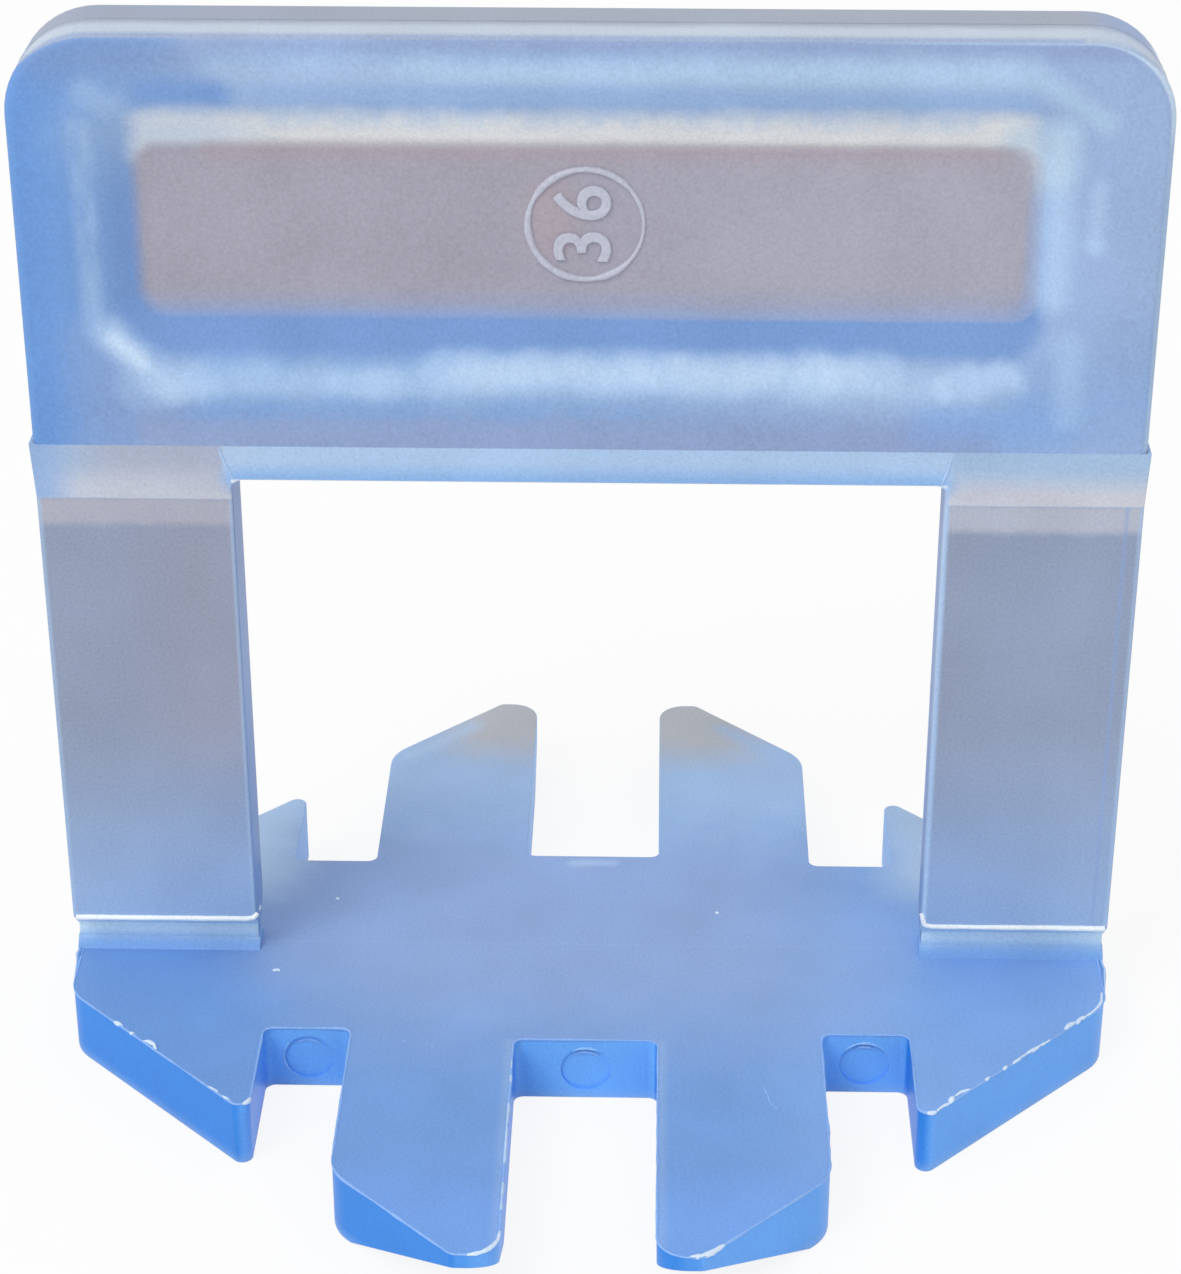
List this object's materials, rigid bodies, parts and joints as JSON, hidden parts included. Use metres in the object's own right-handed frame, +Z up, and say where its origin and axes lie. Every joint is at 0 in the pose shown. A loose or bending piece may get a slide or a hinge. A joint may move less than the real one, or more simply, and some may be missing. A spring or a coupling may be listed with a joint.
{
  "type": "tile levelling clip",
  "caption": "One-piece plastic tile levelling clip: notched base that lies under the tiles, thin legs with a break neck, and a pocketed head over a wedge window.",
  "frame": {"origin": "middle of the underside of the base, on the surface that the clip stands on", "axes": "+Z up from the base to the head, X along the tile joint and across the plate of legs and head, -Y towards the face with the ejector marks"},
  "size_m": [0.0362, 0.0348, 0.0361],
  "materials": {
    "blue_plastic": "satin translucent blue polypropylene, greyer where it is thin, with pale trimming marks on the front edges"
  },
  "bodies": {
    "root": {"levelling_clip": "blue_plastic"}
  },
  "joints": []
}
